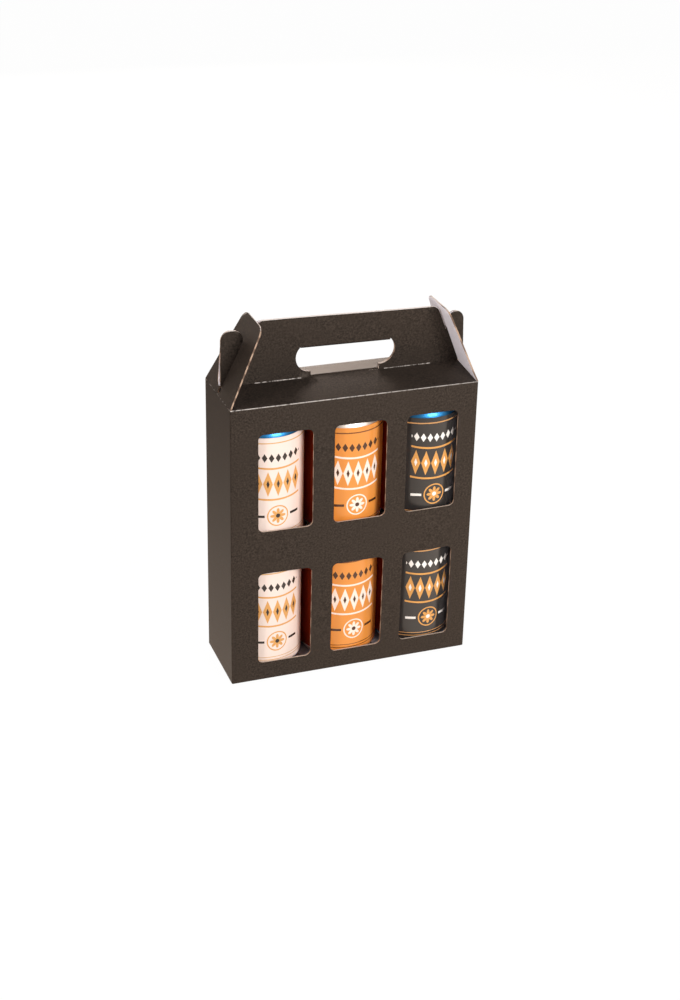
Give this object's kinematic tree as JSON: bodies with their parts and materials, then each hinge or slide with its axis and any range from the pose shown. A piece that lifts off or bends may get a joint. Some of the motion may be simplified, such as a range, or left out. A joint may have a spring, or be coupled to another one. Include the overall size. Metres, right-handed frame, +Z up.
{
  "type": "six-pack can carrier",
  "caption": "Gable-top carry carton of dark board with a die-cut hand hole, windows in its front wall and hinged end flaps, filled with labelled drinks cans.",
  "frame": {"origin": "centre of the carton's bottom, on the surface it stands on", "axes": "+Z up; the front wall with the windows faces -Y; +X to the right along the front wall"},
  "size_m": [0.2066, 0.07, 0.3055],
  "materials": {
    "board": "matt printed",
    "can": "satin",
    "label_left": "matt printed",
    "label_middle": "matt printed",
    "label_right": "matt printed"
  },
  "bodies": {
    "filled_carton": {"carton": "board", "can_lower_left": "can", "can_lower_middle": "can", "can_lower_right": "can", "can_upper_left": "can", "can_upper_middle": "can", "can_upper_right": "can", "label_lower_left": "label_left", "label_lower_middle": "label_middle", "label_lower_right": "label_right", "label_upper_left": "label_left", "label_upper_middle": "label_middle", "label_upper_right": "label_right"},
    "left_flap": {"end_flap_left": "board"},
    "right_flap": {"end_flap_right": "board"}
  },
  "joints": [
    {"name": "left_flap_fold", "type": "hinge", "parent": "filled_carton", "child": "left_flap", "pos_m": [-0.1033, 0, 0.245], "axis": [0, -1, 0], "range_deg": [0, 195]},
    {"name": "right_flap_fold", "type": "hinge", "parent": "filled_carton", "child": "right_flap", "pos_m": [0.1033, 0, 0.245], "axis": [0, 1, 0], "range_deg": [0, 195]}
  ]
}
